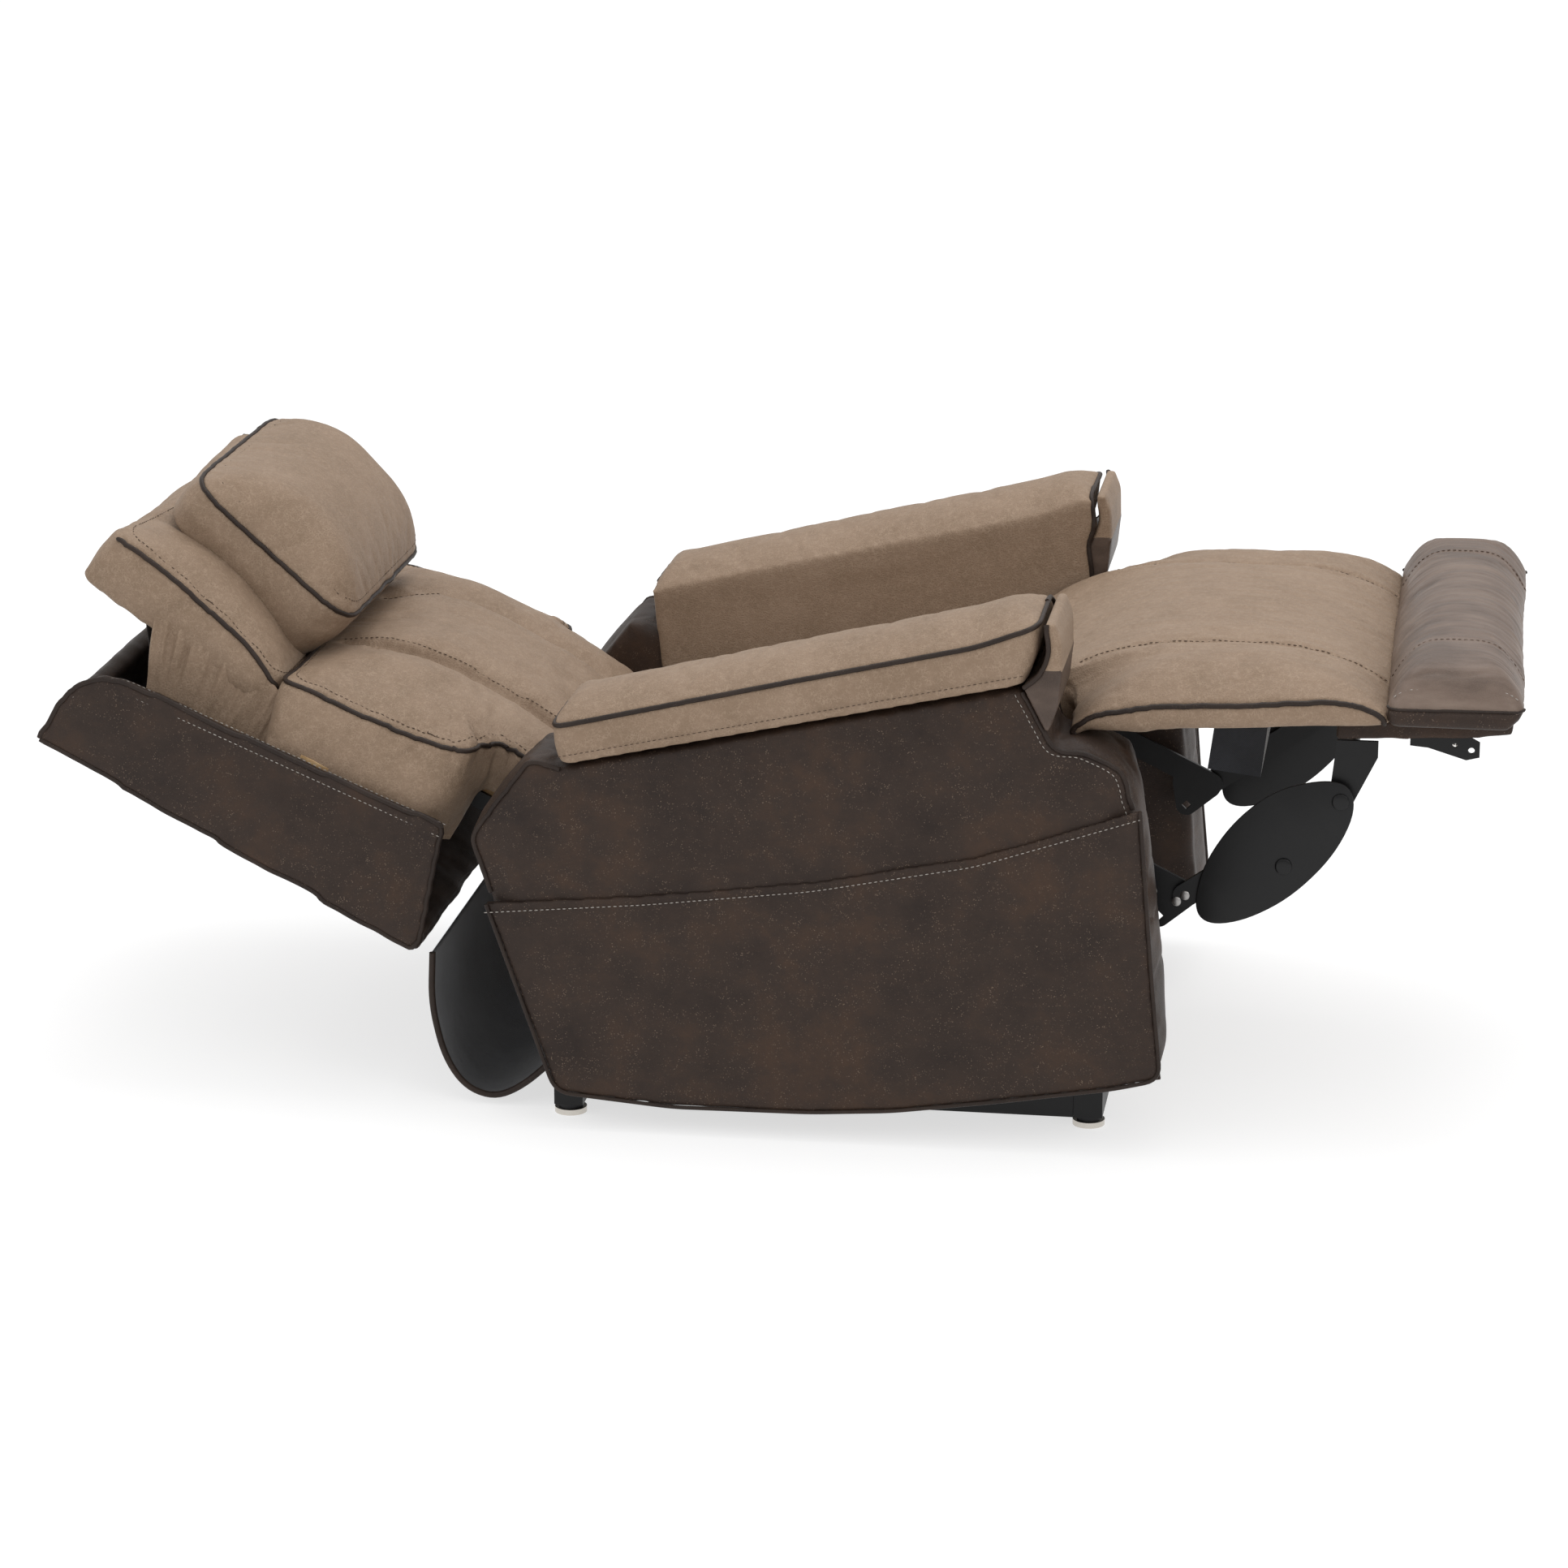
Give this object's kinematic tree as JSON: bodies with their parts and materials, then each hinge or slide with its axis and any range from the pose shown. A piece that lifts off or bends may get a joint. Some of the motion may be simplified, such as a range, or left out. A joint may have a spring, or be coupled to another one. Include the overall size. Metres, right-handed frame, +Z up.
{
  "type": "lift recliner chair",
  "caption": "Powered lift recliner with sloping padded arms, side pockets, tilting headrest with pillow, chaise footrest on scissor links and a lifting base.",
  "frame": {"origin": "On the floor under the middle of the fully reclined chair.", "axes": "+X towards the feet, +Y towards the sitter's left arm, +Z up."},
  "size_m": [1.8231, 0.8766, 0.7579],
  "materials": {
    "tan_upholstery": "matte",
    "brown_upholstery": "matte",
    "brown_skin": "satin",
    "ruched_upholstery": "matte",
    "black_cloth": "matte",
    "timber": "matte",
    "bright_steel": "satin",
    "black_plastic": "satin",
    "black_steel": "satin"
  },
  "bodies": {
    "base": {"base_rails": "black_steel", "base_bar_front": "black_steel", "base_bar_rear": "black_steel", "base_brackets": "black_steel", "base_pins": "bright_steel", "foot_cups": "black_plastic", "foot_glides": "bright_steel"},
    "front_link": {"front_lift_link": "black_steel"},
    "rear_link": {"rear_lift_link": "black_steel"},
    "carriage": {"side_plates": "black_steel", "carriage_tubes": "black_steel", "lift_brackets": "black_steel", "carriage_pins": "bright_steel", "arm_brackets": "black_steel", "rear_rail": "timber", "front_rail": "timber", "seat_springs": "black_steel", "seat_cushion": "tan_upholstery", "chaise_front": "tan_upholstery", "arm_body_right": "brown_upholstery", "arm_body_left": "brown_upholstery", "arm_inner_panels": "tan_upholstery", "arm_pad_right": "tan_upholstery", "arm_pad_left": "tan_upholstery", "arm_fronts": "brown_upholstery", "pocket_sheet_right": "brown_skin", "pocket_sheet_left": "brown_skin", "pocket_welts": "brown_upholstery", "rear_flap": "black_cloth", "control_box": "black_plastic"},
    "footrest": {"footrest_pad": "tan_upholstery", "footrest_bolster": "ruched_upholstery", "footrest_board": "timber", "end_board": "brown_upholstery", "footrest_brackets": "black_steel", "mid_board": "black_cloth", "end_brackets": "black_steel", "end_springs": "bright_steel"},
    "drive_links": {"drive_link": "black_steel"},
    "shield_links": {"shield_link": "black_steel", "oval_shields": "black_plastic"},
    "back": {"back_panel": "brown_upholstery", "back_wings": "brown_upholstery", "back_top_rail": "brown_upholstery", "back_frame": "timber", "back_brackets": "black_steel", "back_cushion": "tan_upholstery", "back_bolsters": "tan_upholstery"},
    "headrest": {"headrest_frame": "timber", "headrest_pad": "tan_upholstery", "head_pillow": "tan_upholstery"},
    "lift_motor": {"lift_motor": "black_plastic"},
    "lift_rod": {"lift_rod": "bright_steel"},
    "footrest_motor": {"footrest_motor": "black_plastic"},
    "footrest_rod": {"footrest_rod": "bright_steel"},
    "back_motor": {"back_motor": "black_plastic"},
    "back_rod": {"back_rod": "bright_steel"},
    "head_motor": {"head_motor": "black_plastic"},
    "head_rod": {"head_rod": "bright_steel"}
  },
  "joints": [
    {"name": "lift", "type": "hinge", "parent": "base", "child": "front_link", "pos_m": [0.347, 0, 0.074], "axis": [0, 1, 0], "range_deg": [0, 68.3]},
    {"name": "rear_link_turn", "type": "hinge", "parent": "base", "child": "rear_link", "pos_m": [0.209, 0, 0.099], "axis": [0, 1, 0], "range_deg": [0, 64.5]},
    {"name": "carriage_tilt", "type": "hinge", "parent": "front_link", "child": "carriage", "pos_m": [0.097, 0, 0.129], "axis": [0, 1, 0], "range_deg": [-35, 0]},
    {"name": "footrest", "type": "hinge", "parent": "carriage", "child": "footrest", "pos_m": [0.477, 0, 0.517], "axis": [0, 1, 0], "range_deg": [0, 87]},
    {"name": "drive_link_turn", "type": "hinge", "parent": "carriage", "child": "drive_links", "pos_m": [0.2905, 0, 0.388], "axis": [0, 1, 0], "range_deg": [0, 87]},
    {"name": "shield_link_turn", "type": "hinge", "parent": "drive_links", "child": "shield_links", "pos_m": [0.5105, 0, 0.28], "axis": [0, 1, 0], "range_deg": [-87, 0]},
    {"name": "back", "type": "hinge", "parent": "carriage", "child": "back", "pos_m": [-0.277, 0, 0.33], "axis": [0, 1, 0], "range_deg": [0, 57]},
    {"name": "headrest", "type": "hinge", "parent": "back", "child": "headrest", "pos_m": [-0.60933, 0, 0.46984], "axis": [0, 1, 0], "range_deg": [-22, 0]},
    {"name": "lift_motor_turn", "type": "hinge", "parent": "base", "child": "lift_motor", "pos_m": [-0.19, 0, 0.068], "axis": [0, 1, 0], "range_deg": [-4.8, 0]},
    {"name": "lift_rod_slide", "type": "slide", "parent": "lift_motor", "child": "lift_rod", "axis": [0.9988, 0, 0.0481], "range_m": [0, 0.053]},
    {"name": "footrest_motor_turn", "type": "hinge", "parent": "carriage", "child": "footrest_motor", "pos_m": [-0.16, 0, 0.172], "axis": [0, 1, 0], "range_deg": [-0.2, 0]},
    {"name": "footrest_rod_slide", "type": "slide", "parent": "footrest_motor", "child": "footrest_rod", "axis": [0.9359, 0, 0.3521], "range_m": [-0.07, 0]},
    {"name": "back_motor_turn", "type": "hinge", "parent": "carriage", "child": "back_motor", "pos_m": [0.16, 0, 0.285], "axis": [0, 1, 0], "range_deg": [-2.2, 0]},
    {"name": "back_rod_slide", "type": "slide", "parent": "back_motor", "child": "back_rod", "axis": [-0.9989, 0, -0.0471], "range_m": [0, 0.077]},
    {"name": "head_motor_turn", "type": "hinge", "parent": "back", "child": "head_motor", "pos_m": [-0.42431, 0, 0.30171], "axis": [0, 1, 0], "range_deg": [0, 2.4]},
    {"name": "head_rod_slide", "type": "slide", "parent": "head_motor", "child": "head_rod", "axis": [-0.8751, 0, 0.484], "range_m": [-0.021, 0]}
  ],
  "couplings": [
    {"joint": "rear_link_turn", "follows": "lift", "ratio": 0.94224},
    {"joint": "carriage_tilt", "follows": "lift", "ratio": -0.51059},
    {"joint": "lift_motor_turn", "follows": "lift", "ratio": -0.06868},
    {"joint": "lift_rod_slide", "follows": "lift", "m_per_rad": 0.04382},
    {"joint": "drive_link_turn", "follows": "footrest", "ratio": 1},
    {"joint": "shield_link_turn", "follows": "footrest", "ratio": -1},
    {"joint": "footrest_motor_turn", "follows": "footrest", "ratio": -0.00173},
    {"joint": "footrest_rod_slide", "follows": "footrest", "m_per_rad": -0.0456},
    {"joint": "back_motor_turn", "follows": "back", "ratio": -0.0366},
    {"joint": "back_rod_slide", "follows": "back", "m_per_rad": 0.07679},
    {"joint": "head_motor_turn", "follows": "headrest", "ratio": -0.10226},
    {"joint": "head_rod_slide", "follows": "headrest", "m_per_rad": 0.0537}
  ]
}
